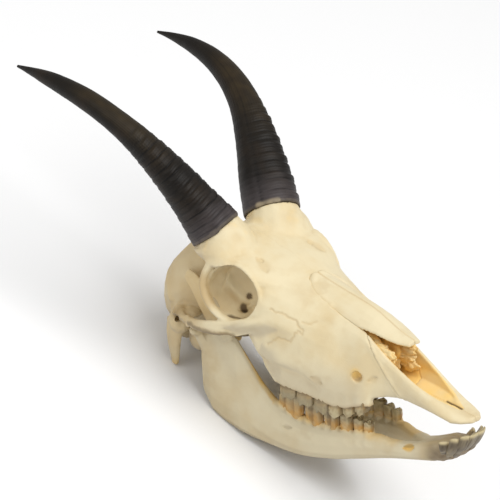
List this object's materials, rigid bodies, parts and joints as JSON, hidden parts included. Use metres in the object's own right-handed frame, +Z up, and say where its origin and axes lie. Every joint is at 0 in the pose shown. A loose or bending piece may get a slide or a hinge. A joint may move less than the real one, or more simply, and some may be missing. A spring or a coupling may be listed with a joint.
{
  "type": "mountain goat skull",
  "caption": "Mountain goat skull with curved black horn sheaths, open orbits, nasal bones and toothed lower jaw, lying nose up on its jaw angles as a museum model.",
  "frame": {"origin": "on the floor under the middle of the model's box", "axes": "+X from the braincase towards the nose, +Y to the animal's left, +Z up from the floor that the skull rests on"},
  "size_m": [0.4304, 0.1546, 0.1643],
  "materials": {
    "bone": "dry cream bone, satin",
    "jaw_bone": "dry grey-cream bone, satin",
    "horn": "black-brown keratin, satin",
    "tooth": "stained enamel"
  },
  "bodies": {
    "root": {"cranium": "bone", "nasal_right": "bone", "nasal_left": "bone", "premaxilla_right": "bone", "premaxilla_left": "bone", "horn_right": "horn", "horn_left": "horn", "mandible_right": "jaw_bone", "mandible_left": "jaw_bone"}
  },
  "joints": []
}
